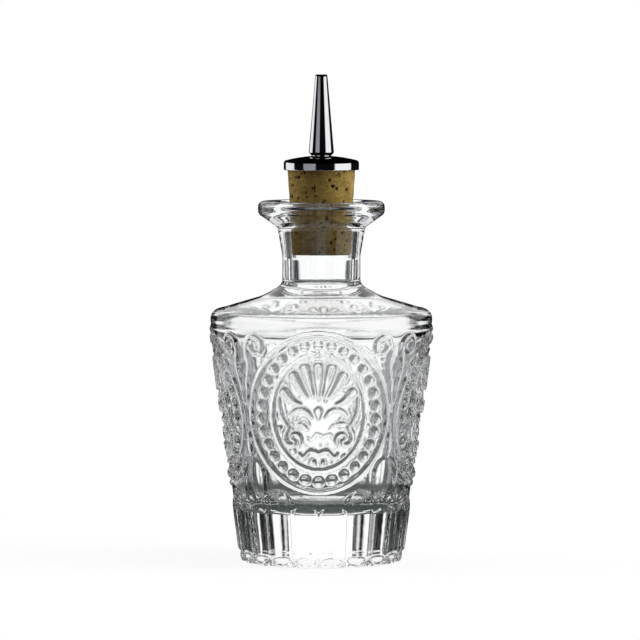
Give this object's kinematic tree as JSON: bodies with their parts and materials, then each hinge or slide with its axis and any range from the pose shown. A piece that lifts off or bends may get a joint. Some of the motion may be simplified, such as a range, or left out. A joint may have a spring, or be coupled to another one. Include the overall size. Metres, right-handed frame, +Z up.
{
  "type": "bitters bottle",
  "caption": "Pressed-glass bitters bottle with oval medallions and a fluted foot, closed by a tapered cork with a metal cap and dasher spout.",
  "frame": {"origin": "centre of the foot, on the surface that the bottle stands on", "axes": "+Z up along the bottle's axis, -Y out of the front medallion, +X to the right of it"},
  "size_m": [0.0658, 0.0658, 0.1426],
  "materials": {
    "glass": "clear pressed glass",
    "cork": "natural cork, fine pores",
    "metal": "polished"
  },
  "bodies": {
    "bottle": {"bottle": "glass"},
    "stopper": {"cork": "cork", "cap": "metal", "spout": "metal", "cork_tube": "metal"}
  },
  "joints": [
    {"name": "stopper_lift", "type": "slide", "parent": "bottle", "child": "stopper", "axis": [0, 0, 1], "range_m": [0, 0.04]}
  ]
}
